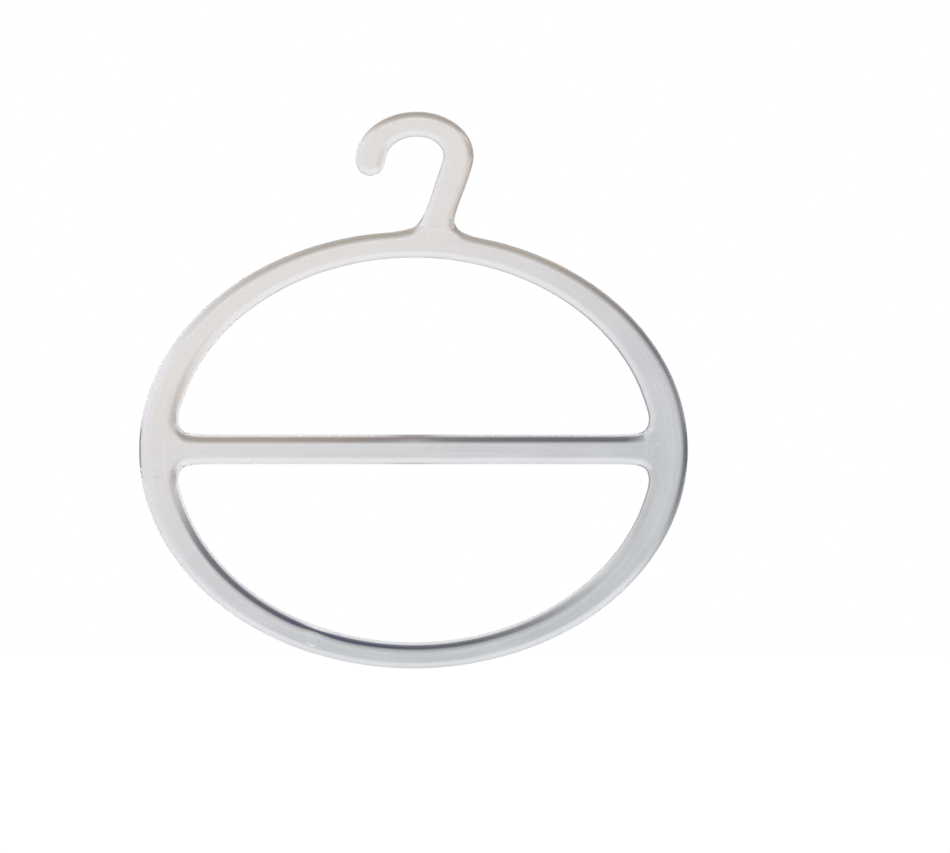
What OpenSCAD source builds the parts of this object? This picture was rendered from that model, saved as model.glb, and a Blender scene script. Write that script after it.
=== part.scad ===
// Scarf hanger: an oval ring with a crossbar through it and a leaning hook on top.
// It is one plastic moulding of solid, softly crowned limbs. Each limb is a module
// of its own here, and neighbouring limbs meet face to face across a flat cut.
// The hanger stands upright in the XZ plane, and its front faces -Y.
// The origin is the rail seat, the highest point of the hook's inner edge.

/* [Ring] */
// Width of the oval ring over its outer edge
ring_w = 180; // [140:1:240]
// Height of the oval ring over its outer edge
ring_h = 143.4; // [110:0.1:190]
// Width of the ring's band at its left and right
ring_band_side = 11.6; // [8:0.1:18]
// Width of the ring's band at its top and bottom
ring_band_top = 8.5; // [6:0.1:14]
// How far the ring's middle stands to the right of the rail seat
ring_shift = -1.1; // [-8:0.1:6]

/* [Crossbar] */
// Height of the crossbar, seen from the front
bar_h = 9.6; // [6:0.1:16]
// Height of the crossbar's middle above the ring's middle
bar_rise = 0.2; // [-12:0.1:12]
// Length of each corner fillet along the crossbar
bar_fillet_l = 8; // [2:0.1:14]
// Height of each corner fillet along the ring's inner edge
bar_fillet_h = 5.8; // [1.5:0.1:10]

/* [Hook] */
// Height of the rail seat above the top of the ring
hook_h = 31.2; // [25:0.1:60]
// Width of the hook's limb across its top
hook_band_top = 8.1; // [6:0.1:12]
// Width of the hook's limb at its sides and along the stem
hook_band_side = 9.8; // [7:0.1:13]
// Reach of the limb's middle line to the left of the seat
crook_left = 15.2; // [13:0.1:22]
// Drop of the middle line from its top to the start of the round tip
crook_left_drop = 12; // [9:0.1:16]
// Reach of the limb's middle line to the right of the seat
crook_right = 13.7; // [12:0.1:22]
// Drop of the middle line from its top to its rightmost point
crook_right_drop = 10.4; // [8:0.1:15]
// Length of the round tip beyond the curve
tip_l = 4.8; // [3:0.1:7]
// Lean of the stem from upright, its foot towards the left
stem_lean = 18.5; // [0:0.1:30]

/* [Root] */
// Length of the flared root along the stem, above the ring's edge
root_l = 6.6; // [3:0.1:10]
// Reach of the root's flare to the left of the stem's middle line
root_left = 13.5; // [9:0.1:26]
// Reach of the root's flare to the right of the stem's middle line
root_right = 15; // [9:0.1:24]

/* [Section] */
// Thickness of every limb from front to back
thick = 6; // [4:0.1:10]
// Squareness of the section, from 2 for an ellipse to 4 for nearly a rectangle
squareness = 2.6; // [2:0.1:4]

/* [Hidden] */
milky = [0.86, 0.87, 0.88];

// Smoothness: points round a section, and the most degrees from rung to rung
section_sides = 24;
ring_step = 4;
crook_step = 6;
flare_rungs = 8;
tip_rungs = 6;

// How far a fillet's end is sunk into the ring's edge and under the ring's crown, so that
// the two solids share material
sink = 0.15;
// Plain ring left beyond a fillet's end before the cut to the next limb
land = 1.2;

// Middle of the ring, as [x, z], and the half sizes of its outer, middle and inner ovals
ring_mid = [ring_shift, -hook_h - ring_h / 2];
outer = [ring_w, ring_h] / 2;
inner = outer - [ring_band_side, ring_band_top];
middle = (outer + inner) / 2;

// Heights of the crossbar's edges above the ring's middle
bar_top = bar_rise + bar_h / 2;
bar_bottom = bar_rise - bar_h / 2;

// Highest point of the crook's middle line, and the middles of its left and right quarters
crook_top = [0, hook_band_top / 2];
left_mid = crook_top - [0, crook_left_drop];
right_mid = crook_top - [0, crook_right_drop];
left_size = [crook_left, crook_left_drop];
right_size = [crook_right, crook_right_drop];

// Directions down the stem and across it, towards the right
down_stem = [-sin(stem_lean), -cos(stem_lean)];
across_stem = [cos(stem_lean), -sin(stem_lean)];

// Where the crook's right quarter has turned as far as the stem, and the stem's ends
crook_end = -atan(tan(stem_lean) * crook_right_drop / crook_right);
stem_start = right_mid + on_oval(right_size, crook_end);
stem_w = limb_width(across_stem);
foot = stem_start + down_stem * way_to_oval(stem_start - ring_mid, down_stem, outer);
root_start = foot - down_stem * root_l;

// Angles on the ring where the root's flare ends, and where the root is cut from the ring
flare_right = angle_at_x(foot.x + root_right);
flare_left = angle_at_x(foot.x - root_left);
land_angle = land / outer.x * 180 / PI;
root_right_cut = flare_right - land_angle;
root_left_cut = flare_left + land_angle;

// Angles above and below level where the junctions are cut from the ring
upper_cut = asin((bar_top + bar_fillet_h + land) / inner.y);
lower_cut = asin((-bar_bottom + bar_fillet_h + land) / inner.y);

// A point on an oval of half sizes s at angle t, and the direction of its edge there
function on_oval(s, t) = [s.x * cos(t), s.y * sin(t)];
function along_oval(s, t) = [-s.x * sin(t), s.y * cos(t)];
function unit(v) = v / norm(v);

// Outward direction of an oval's edge at angle t
function out_of_oval(s, t) = unit([s.y * cos(t), s.x * sin(t)]);

// Angle on the ring's upper outer edge that lies at a given x
function angle_at_x(x) = acos((x - ring_mid.x) / outer.x);

// Width of the hook's limb where its two edges face the direction n and its opposite
function limb_width(n) = norm([hook_band_side * n.x, hook_band_top * n.y]);

// Distance from p along the direction d to the near side of an oval of half sizes s
function way_to_oval(p, d, s) =
    let (q = [p.x / s.x, p.y / s.y], e = [d.x / s.x, d.y / s.y], b = q * e, a = e * e)
    (-b - sqrt(b * b - a * (q * q - 1))) / a;

// Where the line through p along d crosses the line through q along e
function meet(p, d, q, e) =
    p + d * ((q - p).x * e.y - (q - p).y * e.x) / (d.x * e.y - d.y * e.x);

// A point at share k along the fillet that leaves a towards corner c and ends at b
function fillet(a, c, b, k) = a * (1 - k) * (1 - k) + c * 2 * k * (1 - k) + b * k * k;

// The section's power law on one sine or cosine
function squared(v) = sign(v) * pow(abs(v), 2 / squareness);

// Angles from a to b by way of the whole multiples of step between them
function turns(a, b, step) =
    [a, for (t = [step * ceil((a + 1) / step):step:b - 1]) t, b];

// One section across a rung: [edge point, opposite edge point, share of the thickness]
function section(rung) =
    let (mid = (rung[0] + rung[1]) / 2, half = (rung[1] - rung[0]) / 2)
    [for (i = [0:section_sides - 1])
        let (t = 360 * i / section_sides, p = mid + half * squared(cos(t)))
        [p.x, rung[2] * thick / 2 * squared(sin(t)), p.y]];

// A limb through a ladder of rungs, closed by a flat cut at each end, or at its last
// end by a point
module limb(rungs, point = undef) {
    n = section_sides;
    last = len(rungs) - 1;
    pole = (last + 1) * n;
    skin = [for (r = rungs) each section(r)];
    sides = [for (j = [0:last - 1], i = [0:n - 1])
        let (a = j * n + i, b = j * n + (i + 1) % n) each [[a, b, b + n], [a, b + n, a + n]]];
    start = [[for (i = [n - 1:-1:0]) i]];
    end = is_undef(point)
        ? [[for (i = [0:n - 1]) last * n + i]]
        : [for (i = [0:n - 1]) [last * n + i, last * n + (i + 1) % n, pole]];
    points = is_undef(point) ? skin : concat(skin, [[point.x, 0, point.y]]);
    color(milky) polyhedron(points, concat(sides, start, end), convexity = 4);
}

// The ring's band between two angles, counted from the right and anticlockwise
module ring_band(from, to) {
    limb([for (t = turns(from, to, ring_step))
        [ring_mid + on_oval(outer, t), ring_mid + on_oval(inner, t), 1]]);
}

// Rungs of a flare from the rung a0-b0, whose edges run on along d, to the points that
// lie at angles ta and tb on an oval of half sizes s. It ends on the ring's middle line.
// The fillets' last step is left out, since it lies inside the ring and would fold back.
function flare(a0, b0, d, s, ta, tb) =
    let (
        a2 = ring_mid + on_oval(s, ta), b2 = ring_mid + on_oval(s, tb),
        a1 = meet(a0, d, a2, along_oval(s, ta)), b1 = meet(b0, d, b2, along_oval(s, tb))
    )
    concat(
        [for (i = [0:flare_rungs - 1])
            let (k = i / flare_rungs) [fillet(a0, a1, a2, k), fillet(b0, b1, b2, k), 1]],
        [[ring_mid + on_oval(middle, ta), ring_mid + on_oval(middle, tb), 1 - 2 * sink / thick]]
    );

// The crook's curve over the rail, from the stem up and round to the left, and its tip
module hook_crook() {
    right = [for (t = turns(crook_end, 90, crook_step)) [right_mid, right_size, t]];
    left = [for (t = turns(90, 180, crook_step)) if (t > 90) [left_mid, left_size, t]];
    curve = [for (c = concat(right, left))
        let (
            p = c[0] + on_oval(c[1], c[2]),
            n = out_of_oval(c[1], c[2]) * limb_width(out_of_oval(c[1], c[2])) / 2
        )
        [p - n, p + n, 1]];
    tip_mid = left_mid - [crook_left, 0];
    tip = [for (i = [1:tip_rungs - 1])
        let (a = 90 * i / tip_rungs, p = tip_mid - [0, tip_l * sin(a)])
        [p + [hook_band_side / 2 * cos(a), 0], p - [hook_band_side / 2 * cos(a), 0], cos(a)]];
    limb(concat(curve, tip), tip_mid - [0, tip_l]);
}

// The straight leaning stem
module hook_stem() {
    half = across_stem * stem_w / 2;
    limb([for (p = [root_start, stem_start]) [p - half, p + half, 1]]);
}

// The flared root of the stem, with the piece of ring that it stands on
module hook_root() {
    half = across_stem * stem_w / 2;
    buried = outer - [sink, sink];
    limb(flare(root_start - half, root_start + half, down_stem, buried, flare_left, flare_right));
    ring_band(root_right_cut, root_left_cut);
}

// A junction of crossbar and ring: the bar's flared end, with the ring that it runs into.
// side is 1 at the right and -1 at the left.
module junction(side) {
    buried = inner + [sink, sink];
    upper = asin((bar_top + bar_fillet_h) / buried.y);
    lower = asin((bar_bottom - bar_fillet_h) / buried.y);
    x = bar_end(side);
    top = ring_mid + [x, bar_top];
    bottom = ring_mid + [x, bar_bottom];
    turn = side > 0 ? [lower, upper] : [180 - upper, 180 - lower];
    first = side > 0 ? bottom : top;
    second = side > 0 ? top : bottom;
    limb(flare(first, second, [side, 0], buried, turn[0], turn[1]));
    if (side > 0) ring_band(-lower_cut, upper_cut);
    else ring_band(180 - upper_cut, 180 + lower_cut);
}

// Where the crossbar ends and its flare begins, counted from the ring's middle
function bar_end(side) = side * (inner.x - bar_fillet_l);

module left_junction() junction(-1);
module right_junction() junction(1);

// The straight crossbar between the two flares
module crossbar() {
    limb([for (x = [bar_end(1), bar_end(-1)])
        [ring_mid + [x, bar_bottom], ring_mid + [x, bar_top], 1]]);
}

module ring_upper_right() ring_band(upper_cut, root_right_cut);
module ring_upper_left() ring_band(root_left_cut, 180 - upper_cut);
module ring_lower_left() ring_band(180 + lower_cut, 270);
module ring_lower_right() ring_band(270, 360 - lower_cut);

hook_crook();
hook_stem();
hook_root();
ring_upper_left();
ring_upper_right();
ring_lower_left();
ring_lower_right();
left_junction();
right_junction();
crossbar();
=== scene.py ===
import math
import bmesh
import bpy
from mathutils import Matrix, Vector


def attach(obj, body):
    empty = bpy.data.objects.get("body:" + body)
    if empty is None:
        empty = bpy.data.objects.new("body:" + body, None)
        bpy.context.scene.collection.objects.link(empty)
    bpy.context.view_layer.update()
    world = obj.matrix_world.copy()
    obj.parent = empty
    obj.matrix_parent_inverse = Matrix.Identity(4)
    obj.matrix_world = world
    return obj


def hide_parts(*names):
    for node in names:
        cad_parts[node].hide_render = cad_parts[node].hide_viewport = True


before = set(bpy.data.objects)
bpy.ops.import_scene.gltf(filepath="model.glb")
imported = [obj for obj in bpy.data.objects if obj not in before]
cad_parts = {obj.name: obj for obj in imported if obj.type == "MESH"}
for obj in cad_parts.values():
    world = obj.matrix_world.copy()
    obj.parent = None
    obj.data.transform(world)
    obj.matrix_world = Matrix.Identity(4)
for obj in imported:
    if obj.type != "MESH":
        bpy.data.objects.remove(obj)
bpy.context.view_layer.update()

LINES = (1.125, 0.75, 0, -0.75, -1.125)     # shares of a limb's half width, outer edge first
RING_MIDDLE, RING_HALF = Vector((-1.1, 0, -102.9)), (84.2, 67.45)
moulding = bmesh.new()
line = moulding.verts.layers.int.new("line")


def start_row():
    """Five points across a limb that is about to be swept round the unit circle."""
    row = [moulding.verts.new((1 + share / 10, 0, 0)) for share in LINES]
    for number, vert in enumerate(row):
        vert[line] = number
    return row + [moulding.edges.new(pair) for pair in zip(row, row[1:])]


def sweep(row, turns):
    """Spins a row round the unit circle, through pairs of degrees and steps."""
    for degrees, steps in turns:
        row = bmesh.ops.spin(moulding, geom=row, cent=(0, 0, 0), axis=(0, -1, 0),
                             angle=math.radians(degrees), steps=steps)["geom_last"]
    return row


def fit_oval(verts, middle, half_sizes, half_band, fuller):
    """Stretches what was swept to the limb's oval, a little fuller than the real one,
    because the rounding draws it in again."""
    for number, share in enumerate(LINES):
        x, z = [fuller * (size + share * band) / (1 + share / 10)
                for size, band in zip(half_sizes, half_band)]
        bmesh.ops.scale(moulding, vec=(x, 1, z), verts=[v for v in verts if v[line] == number])
    bmesh.ops.translate(moulding, vec=middle, verts=verts)


# The last step of each pair lands on a joint with the crossbar or the hook.
sweep(start_row(), [(6, 2), (74.8, 20), (9.6, 4), (83.6, 22), (12, 4), (168, 44), (6, 2)])
bmesh.ops.remove_doubles(moulding, verts=moulding.verts, dist=1e-4)
fit_oval(moulding.verts[:], RING_MIDDLE, RING_HALF, half_band=(5.8, 4.25), fuller=1.0007)

# The crossbar: the straight rail that scarves fold over. It is part of the same shot, and
# runs into the ring at both ends through rounded corners, as thick as in its middle.
BAR_RISE, BAR_HALF, BAR_END_MORE = 0.2, 4.8, 0.25
UP, RIGHT = Vector((0, 0, 1)), Vector((1, 0, 0))


def edges_between(number, low, high):
    """The sheet's edges along one line of points, inside a box given by two corners."""
    inside = {v for v in moulding.verts if v[line] == number
              and low[0] < v.co.x < high[0] and low[1] < v.co.z < high[1]}
    return [e for e in moulding.edges if set(e.verts) <= inside]


def extend(edges, points, across):
    """Grows a limb by one row of faces, whose far points lie at the given places."""
    grown = bmesh.ops.extrude_edge_only(moulding, edges=edges)["geom"]
    row = [g for g in grown if isinstance(g, bmesh.types.BMVert)]
    for vert, (x, z) in zip(sorted(row, key=lambda v: v.co @ across), points):
        vert.co = Vector((x, 0, z))
    return [g for g in grown if isinstance(g, bmesh.types.BMEdge) and set(g.verts) <= set(row)]


bar_tip = edges_between(4, (60, -112), (90, -94))
left_joint = edges_between(4, (-90, -112), (-60, -94))
for x in (72.9, 68.5, 62, 40, 14, -14, -40, -62, -68.5, -72.9):
    half = BAR_HALF + (BAR_END_MORE if abs(x) > 72 else 0)
    bar_tip = extend(bar_tip, [(RING_MIDDLE.x + x, RING_MIDDLE.z + BAR_RISE - share * half)
                               for share in LINES], UP)
bmesh.ops.bridge_loops(moulding, edges=bar_tip + left_joint)

# The hook: a stem that leans, a crook that goes over the rail, and a round tip. It is part
# of the same shot too, and its root spreads into the top of the ring in two hollow curves.
ring_and_bar = set(moulding.verts)
crook = start_row()
to_stem = Matrix.Rotation(math.radians(14.25), 3, "Y")
bmesh.ops.rotate(moulding, verts=crook[:5], cent=(0, 0, 0), matrix=to_stem)
stem_top = [part for part in crook if isinstance(part, bmesh.types.BMEdge)]
crook_end = sweep(crook, [(104.25, 7), (90, 6)])
swept = [v for v in moulding.verts if v not in ring_and_bar]
CROOK_BAND, CROOK_FULLER, TIP = (4.9, 4.05), 1.0115, Vector((-15.2, 0, -7.95))
stem_half = [v for v in swept if v.co.x > -0.01]
tip_half = [v for v in swept if v.co.x <= -0.01]
fit_oval(stem_half, Vector((0, 0, -6.35)), (13.7, 10.4), CROOK_BAND, CROOK_FULLER)
fit_oval(tip_half, Vector((0, 0, TIP.z)), (-TIP.x, 12), CROOK_BAND, CROOK_FULLER)

# Each row of the stem: its middle, its half width and how far it leans.
stem_end = edges_between(0, (-4, -36), (16, -28))
for (x, z), half, lean in (((6.95, -28.2), 5.65, 16), ((8, -24.4), 4.55, 18.5),
                           ((10.6, -16.9), 4.82, 18)):
    right, down = half * math.cos(math.radians(lean)), half * math.sin(math.radians(lean))
    stem_end = extend(stem_end, [(x - share * right, z + share * down) for share in LINES], RIGHT)
bmesh.ops.bridge_loops(moulding, edges=stem_end + stem_top)

# The tip: one more row that bends round, closed with two points at its nose.
tip_edges = [part for part in crook_end if isinstance(part, bmesh.types.BMEdge)]
bent_row = [(TIP.x + x, TIP.z + z) for x, z in ((-4.3, -4.3), (-2.9, -2.9), (0, -1.9),
                                                (2.9, -2.9), (4.3, -4.3))]
tip_edges = extend(tip_edges, bent_row, RIGHT)
rim = sorted({v for e in tip_edges for v in e.verts}, key=lambda v: v.co.x)
inner_nose, outer_nose = [moulding.verts.new((TIP.x, 0, TIP.z + z)) for z in (-4.1, -6.1)]
for corners in ((rim[1], inner_nose, rim[3], rim[2]), (rim[0], outer_nose, inner_nose, rim[1]),
                (inner_nose, outer_nose, rim[4], rim[3])):
    moulding.faces.new(corners)


# The hollow corners, where the mould was cut with a round cutter. The sheet's points at each corner are
# drawn out one by one, the flat of the face along with its edge.
def draw_corner(start, end):
    """Moves the sheet's point nearest to one place to another one."""
    vert = min(moulding.verts, key=lambda v: (v.co - Vector((start[0], 0, start[1]))).length)
    vert.co = Vector((end[0], 0, end[1]))


for side in (1, -1):
    for rise in (1, -1):
        for (x, z), (new_x, new_z) in (((77.3, 6.56), (76.05, 6.4)), ((76.6, 10.61), (77.05, 10.3)),
                                       ((77.62, 3.28), (75.5, 4.3)), ((79.47, 6.72), (78.45, 7)),
                                       ((79.8, 3.37), (77.4, 5.1))):
            draw_corner((RING_MIDDLE.x + side * x, RING_MIDDLE.z + rise * z),
                        (RING_MIDDLE.x + side * new_x, RING_MIDDLE.z + BAR_RISE + rise * new_z))
for start, end in (((0.84, -26.45), (1.2, -26.5)), ((-1.73, -30.62), (-0.6, -29.5)),
                   ((-1.72, -32.21), (-1.9, -31.7)), ((2.07, -30.66), (1.7, -29.4)),
                   ((1.99, -32.26), (0.7, -30.9)), ((-7.75, -30.8), (-7.75, -31.1)),
                   ((13.06, -29.95), (12.75, -28.7)), ((13.42, -31.55), (14.3, -30.8)),
                   ((11.02, -29.37), (11.1, -28.6)), ((9.65, -31.13), (11.7, -30.4)),
                   ((13.07, -33.12), (15.4, -33.1)), ((9.39, -32.71), (13, -32)),
                   ((19.23, -32.45), (19.2, -32.65))):
    draw_corner(start, end)

# The body: the sheet's inner lines are drawn forward to the front face and mirrored to the
# back one. The two halves meet in the middle plane, where the mould parts.
HALF_THICK = 3
bmesh.ops.translate(moulding, vec=(0, -HALF_THICK, 0),
                    verts=[v for v in moulding.verts if not v.is_boundary])
bmesh.ops.mirror(moulding, geom=moulding.verts[:] + moulding.edges[:] + moulding.faces[:],
                 axis="Y", merge_dist=1e-4)

# The ejector marks: shallow round seats on the front, where pins pushed the warm hanger
# out of the mould, on the bottom of the ring, under the hook and beside the crossbar.
PIN_SIZE, PIN_DEPTH, PIN_WALL, PIN_CORNER = 2.2, 0.2, 0.12, 0.6
pin_seats = []
for x, z in ((-31.4, -166), (5.4, -33.6), (78.5, -105.2), (-83.2, -108.6)):
    middle = min((v for v in moulding.verts
                  if v.co.y < PIN_DEPTH / 2 - HALF_THICK and len(v.link_faces) == 4),
                 key=lambda v: (v.co - Vector((x, -HALF_THICK, z))).length)
    seat = middle.link_faces[:]
    for radius, depth in ((PIN_SIZE, 0), (PIN_SIZE - PIN_WALL, PIN_DEPTH),
                          (PIN_SIZE - PIN_CORNER, PIN_DEPTH)):
        bmesh.ops.inset_region(moulding, faces=seat, thickness=PIN_DEPTH, use_even_offset=False)
        around = sorted({v for f in seat for v in f.verts if v is not middle},
                        key=lambda v: math.atan2(v.co.z - middle.co.z, v.co.x - middle.co.x))
        first = math.atan2(around[0].co.z - middle.co.z, around[0].co.x - middle.co.x)
        for number, vert in enumerate(around):
            turn = first + number * math.tau / len(around)
            vert.co = Vector((middle.co.x + radius * math.cos(turn), depth - HALF_THICK,
                              middle.co.z + radius * math.sin(turn)))
    middle.co.y = PIN_DEPTH - HALF_THICK
    pin_seats.append(middle.co.xz)

# The finished sheet is scaled to metres and rounded.
MM = 0.001
bmesh.ops.recalc_face_normals(moulding, faces=moulding.faces)
bmesh.ops.scale(moulding, vec=(MM, MM, MM), verts=moulding.verts)
cage = bpy.data.meshes.new("hanger_cage")
moulding.to_mesh(cage)
hanger = bpy.data.objects.new("hanger_moulding", cage)
bpy.context.collection.objects.link(hanger)
rounded = hanger.modifiers.new("rounded", "SUBSURF")
rounded.levels = rounded.render_levels = 3
rounded_hanger = hanger.evaluated_get(bpy.context.evaluated_depsgraph_get())
rounded_mesh = bpy.data.meshes.new_from_object(rounded_hanger)
hanger.modifiers.clear()
hanger.data = rounded_mesh
rounded_mesh.name = "hanger_moulding"
rounded_mesh.shade_smooth()

# The lie of the surface, kept for the plastic: how far it tilts away from the flat faces,
# how far it then faces up and to the right, how far to the left, and how far outward from
# the middle of the ring or the hook. The parting line is drawn out as a fine ridge last.
PARTING_RIDGE = 0.04 * MM
HOOK_MIDDLE, HOOK_FOOT = Vector((0, 0, -7)), -28
UP_AND_RIGHT = Vector((0.72, 0, 0.69))
HOOK_UP = 0.4               # what faces up more than this on the hook counts as well
PALE_REACH = 1.1 * PIN_SIZE     # no dark line is drawn this near to an ejector mark
lie = {"tilt": [], "faces_up": [], "faces_left": [], "faces_out": []}
for vert in rounded_mesh.vertices:
    point = vert.co / MM
    sideways = Vector((vert.normal.x, 0, vert.normal.z)) / max(math.hypot(*vert.normal.xz), 1e-3)
    on_hook = point.z > HOOK_FOOT
    outward = (point - (HOOK_MIDDLE if on_hook else RING_MIDDLE)).normalized()
    upward = sideways @ UP_AND_RIGHT
    if on_hook:
        upward = max(upward, sideways.z - HOOK_UP)
    if min((point.xz - seat).length for seat in pin_seats) < PALE_REACH:
        upward = -1
    lie["tilt"].append(math.acos(min(1, abs(vert.normal.y))) / (math.pi / 2))
    lie["faces_up"].append(upward)
    lie["faces_left"].append(-sideways.x)
    lie["faces_out"].append(sideways @ outward)
for name, values in lie.items():
    rounded_mesh.attributes.new(name, "FLOAT", "POINT").data.foreach_set("value", values)
for vert in rounded_mesh.vertices:
    if abs(vert.co.y) < 1e-6:
        vert.co += vert.normal * PARTING_RIDGE

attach(hanger, "root")
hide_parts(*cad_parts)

# The plastic: milky-clear and glossy, with painted light and shade that make it warmer and lighter on
# the upper left and greyer and darker on the lower right. A painted shade line runs along its upper
# shoulders and a painted highlight along its lower ones, and the flow of the melt leaves faint clouds
# and ripples.
plastic = bpy.data.materials.new("milky_plastic")
plastic.use_nodes = True
nodes, links = plastic.node_tree.nodes, plastic.node_tree.links
shader = nodes["Principled BSDF"]
shader.inputs["IOR"].default_value = 1.49
shader.inputs["Transmission Weight"].default_value = 0.92


def add_node(kind, inputs=(), **settings):
    """Adds a node with its settings, and fills its inputs with links or numbers."""
    node = nodes.new("ShaderNode" + kind)
    for name, value in settings.items():
        setattr(node, name, value)
    for socket, value in dict(inputs).items():
        if isinstance(value, bpy.types.NodeSocket):
            links.new(value, node.inputs[socket])
        else:
            node.inputs[socket].default_value = value
    return node


def colour_steps(factor, *steps):
    """A ramp that runs through colours at their places."""
    ramp = add_node("ValToRGB", {0: factor})
    ramp.color_ramp.interpolation = "EASE"
    stops = ramp.color_ramp.elements
    for number, (place, colour) in enumerate(steps):
        stop = stops[number] if number < 2 else stops.new(place)
        stop.position = place
        stop.color = (*colour, 1) if isinstance(colour, tuple) else (colour, colour, colour, 1)
    return ramp.outputs["Color"]


def times(first, *others):
    """Multiplies numbers of nodes."""
    for other in others:
        first = add_node("Math", {0: first, 1: other}, operation="MULTIPLY").outputs[0]
    return first


def rest_of(share):
    """What a share leaves of one."""
    return add_node("Math", {0: 1, 1: share}, operation="SUBTRACT").outputs[0]


def spread(value, start, end, low=0.0, high=1.0, **settings):
    """Stretches the span between start and end to the one between low and high."""
    return add_node("MapRange", {"Value": value, "From Min": start, "From Max": end,
                                 "To Min": low, "To Max": high}, **settings).outputs[0]


def along(spot, direction):
    """How far a spot lies along a direction, measured in that direction's own length."""
    return add_node("VectorMath", {0: spot, 1: direction}, operation="DOT_PRODUCT").outputs["Value"]


def noise(spot, size, **settings):
    """Cloudy noise from 0 to 1, finer with a greater size number."""
    return add_node("TexNoise", {"Vector": spot, "Scale": size, **settings}).outputs["Fac"]


def blend(factor, first, second):
    """Mixes two colours, each one a number triple or another node's colour."""
    mix = add_node("Mix", {"Factor": factor}, data_type="RGBA")
    for socket, value in ((mix.inputs[6], first), (mix.inputs[7], second)):
        if isinstance(value, bpy.types.NodeSocket):
            links.new(value, socket)
        else:
            socket.default_value = (*value, 1)
    return mix.outputs[2]


spot = add_node("TexCoord").outputs["Object"]
spot_parts = add_node("SeparateXYZ", {0: spot}).outputs
tilt, facing_up, facing_left, facing_out = [
    add_node("Attribute", attribute_name=name).outputs["Fac"] for name in lie]

# Painted light and shade in the body's tone: warm and lighter to the upper left, grey and darker to the
# lower right, as lit from the upper left.
body = colour_steps(along(spot, (2.7, 0, -4.3)),
                    (0.1, (0.76, 0.735, 0.72)), (0.25, (0.72, 0.7, 0.695)),
                    (0.4, (0.65, 0.64, 0.66)), (0.55, (0.585, 0.595, 0.62)),
                    (0.68, (0.545, 0.57, 0.59)), (0.9, (0.5, 0.53, 0.56)))

# Clouds, and streaks that follow the melt round the ring and along the crossbar.
clouds = noise(spot, 55, Detail=3, Roughness=0.55)
body = blend(colour_steps(clouds, (0.4, 0), (0.75, 0.2)), body, (0.8, 0.8, 0.8))
on_ring = add_node("VectorMath", {0: spot, 1: -RING_MIDDLE * MM}, operation="ADD").outputs[0]
on_ring = add_node("VectorMath", {0: on_ring, 1: (1 / MM / RING_HALF[0], 0, 1 / MM / RING_HALF[1])},
                   operation="MULTIPLY").outputs[0]
oval = add_node("VectorMath", {0: on_ring}, operation="LENGTH").outputs["Value"]
height = add_node("SeparateXYZ", {0: on_ring}).outputs["Z"]
on_bar = add_node("Math", {0: oval, 1: 0.9}, operation="LESS_THAN").outputs[0]
lane = add_node("Mix", {"Factor": on_bar, "A": oval, "B": height}, data_type="FLOAT").outputs[0]
flow = add_node("CombineXYZ", {"X": times(lane, 50), "Y": times(spot_parts["X"], 25)}).outputs[0]
streaks = noise(flow, 1, Detail=2)
body = blend(colour_steps(streaks, (0.42, 0), (0.7, 0.2)), body, (0.86, 0.86, 0.87))

# Painted shade: a dark line inside the shoulders that face up and to the right, where the clear plastic
# would show dark surroundings. It lies further in on the limbs' inner sides, deepens to the lower right,
# and fades where the crossbar ends.
up = spread(facing_up, -0.2, 0.55, interpolation_type="SMOOTHSTEP")
out = spread(facing_out, 0.2, 0.8)
within = rest_of(out)
to_lower_right = along(spot, (5.5, 0, -8))
depth = add_node("Math", {0: to_lower_right, 1: -0.05}, operation="ADD", use_clamp=True).outputs[0]
lower_part = spread(spot_parts["Z"], -0.09, -0.14)
lower_left = times(lower_part, spread(spot_parts["X"], 0.035, -0.01))
inner_line = colour_steps(tilt, (0.06, 0), (0.21, 1), (0.44, 0.9), (0.6, 0))
outer_line = colour_steps(tilt, (0.12, 0), (0.25, 0.35), (0.42, 1), (1, 1))
bar_end = spread(spot_parts["X"], 0.0755, 0.0685)
not_right = spread(facing_left, -1, -0.9, low=0.35)
shoulder_shade = blend(out, times(inner_line, bar_end, not_right), outer_line)
strength = spread(depth, 0, 1, low=spread(out, 0, 1, 0.5, 0.85))
painted_shade = colour_steps(depth, (0.42, (0.56, 0.45, 0.35)), (0.95, (0.1, 0.1, 0.13)))
body = blend(times(shoulder_shade, up, strength), body, blend(lower_left, painted_shade, (0.01, 0.01, 0.07)))

# Painted highlights: a bright line in the other shoulders and along the inner rims, a little lavender
# where they face left. Painted shade: a faint brown line low on the right inside the ring, and a dark
# outline.
bright_low = times(colour_steps(tilt, (0.1, 0), (0.3, 0.9), (0.5, 1), (0.72, 0.3), (1, 0)), rest_of(up))
bright_rim = times(colour_steps(tilt, (0.5, 0), (0.62, 1), (0.85, 1), (1, 0.5)), up, within)
painted_highlight = add_node("Math", {0: bright_low, 1: bright_rim}, operation="ADD", use_clamp=True).outputs[0]
bright_colour = blend(spread(facing_left, 0.55, 0.95), (0.95, 0.955, 0.98), (0.79, 0.78, 0.84))
body = blend(painted_highlight, body, bright_colour)
# Painted shade: the brown line inside the ring and the dark outline along the upper edges.
brown_line = times(inner_line, within, lower_part, spread(facing_left, 0.7, 0.9, high=0.8))
body = blend(brown_line, body, (0.3, 0.28, 0.26))
outline_shade = times(colour_steps(tilt, (0.45, 0), (0.7, 0.8)), up, out)
body = blend(outline_shade, body, (0.15, 0.14, 0.13))
links.new(body, shader.inputs["Base Color"])

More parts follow.
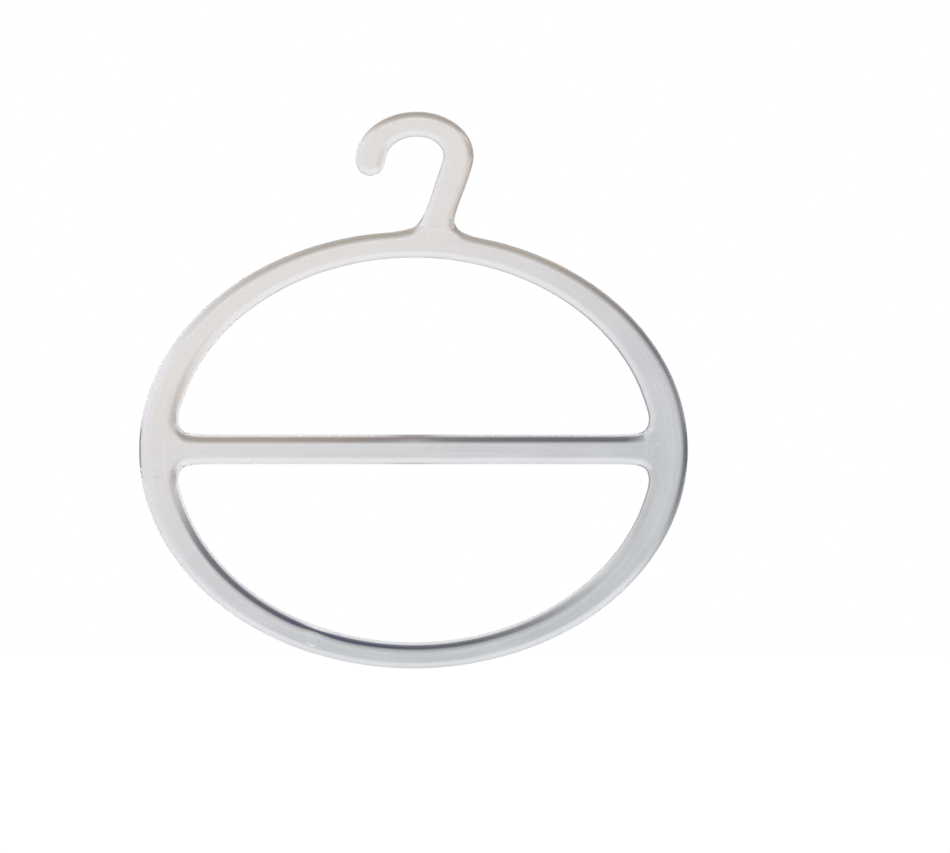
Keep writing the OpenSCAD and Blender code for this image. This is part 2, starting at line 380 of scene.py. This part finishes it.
# The gloss is duller where hands wear it and along the rim. The skin has long, soft ripples
# and a fine grain.
wear = spread(noise(spot, 160, Detail=5, Roughness=0.6), 0.35, 0.7, 0.05, 0.16)
matt_rim = colour_steps(tilt, (0.72, 0), (0.95, 0.35))
roughness = add_node("Math", {0: wear, 1: matt_rim}, operation="ADD").outputs[0]
links.new(roughness, shader.inputs["Roughness"])
ripples = add_node("Bump", {"Height": noise(spot, 75, Detail=1), "Strength": 1, "Distance": 0.12 * MM})
skin = add_node("Bump", {"Height": noise(spot, 700, Detail=2), "Strength": 1, "Distance": 0.006 * MM,
                         "Normal": ripples.outputs[0]})
links.new(skin.outputs[0], shader.inputs["Normal"])
rounded_mesh.materials.clear()
rounded_mesh.materials.append(plastic)

# The floor: a plain pale sheet well below the hanger, which hangs clear of it. What the
# camera and the plastic see of it is lifted to the white of the background.
FLOOR_LEVEL, FLOOR_REACH = -0.45, 6
FLOOR_LIFT = 0.28


def stage_sheet(name, corners):
    """A flat sheet of the stage, with a material of its own."""
    sheet = bmesh.new()
    sheet.faces.new([sheet.verts.new(corner) for corner in corners])
    mesh = bpy.data.meshes.new(name)
    sheet.to_mesh(mesh)
    mesh.materials.append(bpy.data.materials.new(name))
    mesh.materials[0].use_nodes = True
    made = bpy.data.objects.new(name, mesh)
    bpy.context.collection.objects.link(made)
    return made


def seen_directly():
    """1 for the camera, for reflections and for what is seen through the plastic."""
    path = add_node("LightPath")
    seen = add_node("Math", {0: path.outputs["Is Camera Ray"], 1: path.outputs["Is Glossy Ray"]},
                    operation="ADD").outputs[0]
    return add_node("Math", {0: seen, 1: path.outputs["Is Transmission Ray"]},
                    operation="ADD", use_clamp=True).outputs[0]


floor = stage_sheet("floor", [(x * FLOOR_REACH, y * FLOOR_REACH, FLOOR_LEVEL)
                              for x, y in ((-1, -1), (1, -1), (1, 1), (-1, 1))])
nodes, links = floor.data.materials[0].node_tree.nodes, floor.data.materials[0].node_tree.links
shader = nodes["Principled BSDF"]
shader.inputs["Base Color"].default_value = (0.9, 0.9, 0.9, 1)
shader.inputs["Roughness"].default_value = 0.9
shader.inputs["Emission Color"].default_value = (1, 1, 1, 1)
links.new(times(seen_directly(), FLOOR_LIFT), shader.inputs["Emission Strength"])

# The flags: two soft grey cards behind the hanger, one low down and one to the left. They
# are out of the camera's sight, and only draw the dark edges inside the plastic. Each is
# shaded along one direction, and fades to white on both sides of a middle.
low_flag = stage_sheet("low_flag", [(x, y, FLOOR_LEVEL + 0.01)
                                    for x, y in ((-1, 0.3), (0.5, 0.3), (0.5, 4), (-1, 4))])
low_shades = ((0.075, 1.0), (0.118, (0.82, 0.8, 0.78)), (0.155, (0.62, 0.6, 0.58)),
              (0.21, (0.56, 0.545, 0.52)), (0.28, (0.56, 0.545, 0.52)),
              (0.375, (0.64, 0.625, 0.61)), (0.5, (0.72, 0.71, 0.7)), (0.7, 0.86), (1, 1.0))
left_flag = stage_sheet("left_flag", ((-0.27, 1.6, -0.3), (-1.9, 0.9, -0.3),
                                      (-1.9, 0.9, 0.2), (-0.27, 1.6, 0.2)))
left_shades = ((0.135, 0.95), (0.25, 0.8), (0.37, 0.68), (0.9, 0.62))
for flag, run, shades, across, middle, plain_half, faded_half in (
        (low_flag, (0, 0.25, 0), low_shades, (1, 0, 0), -0.16, 0.3, 0.62),
        (left_flag, (-0.5, 0, 0), left_shades, (0, 0, 1), -0.05, 0.1, 0.25)):
    flag.visible_camera = flag.visible_diffuse = flag.visible_glossy = flag.visible_shadow = False
    tree = flag.data.materials[0].node_tree
    tree.nodes.clear()
    nodes, links = tree.nodes, tree.links
    spot = add_node("TexCoord").outputs["Object"]
    card = colour_steps(along(spot, run), *shades)
    aside = add_node("Math", {0: along(spot, across), 1: middle}, operation="SUBTRACT").outputs[0]
    aside = add_node("Math", {0: aside}, operation="ABSOLUTE").outputs[0]
    glow = add_node("Emission", {"Color": blend(spread(aside, plain_half, faded_half), card, (1, 1, 1))})
    links.new(glow.outputs[0], add_node("OutputMaterial").inputs[0])

# The light: a white room, which lights everything evenly and is the background too, a
# soft sun from the upper left and a weaker soft box on the right. The two lamps only light
# the hanger: they aren't seen in its gloss or through it.
ROOM_LIGHT = 0.6
room = bpy.data.worlds.new("white_room")
bpy.context.scene.world = room
room.use_nodes = True
nodes, links = room.node_tree.nodes, room.node_tree.links
nodes["Background"].inputs["Color"].default_value = (1, 1, 1, 1)
links.new(spread(seen_directly(), 0, 1, low=ROOM_LIGHT), nodes["Background"].inputs["Strength"])
sun = bpy.data.lights.new("soft_sun", "SUN")
sun.angle, sun.energy = math.radians(60), 1.0
soft_box = bpy.data.lights.new("soft_box", "AREA")
soft_box.size, soft_box.energy = 0.8, 5
for lamp, where in ((sun, (-1.1, -1.5, 1.6)), (soft_box, (1.4, -1.1, 0.6))):
    lamp_object = bpy.data.objects.new(lamp.name, lamp)
    bpy.context.collection.objects.link(lamp_object)
    lamp_object.location = where
    aim = Vector((0, 0, -0.09)) - Vector(where)
    lamp_object.rotation_euler = aim.to_track_quat("-Z", "Y").to_euler()
    lamp_object.visible_transmission = lamp_object.visible_glossy = False

# The camera: level with the middle of the picture and square to the hanger, from far
# enough for the ring to keep its drawn shape.
PICTURE_WIDTH, PICTURE_MIDDLE, DISTANCE = 0.31182, (0.0191, -0.0952), 1.6
view = bpy.data.cameras.new("camera")
view.sensor_width = 36
view.lens = view.sensor_width * DISTANCE / PICTURE_WIDTH
camera = bpy.data.objects.new("camera", view)
bpy.context.collection.objects.link(camera)
camera.location = (PICTURE_MIDDLE[0], -DISTANCE, PICTURE_MIDDLE[1])
camera.rotation_euler = (math.radians(90), 0, 0)
bpy.context.scene.camera = camera
bpy.context.scene.view_settings.view_transform = "Standard"

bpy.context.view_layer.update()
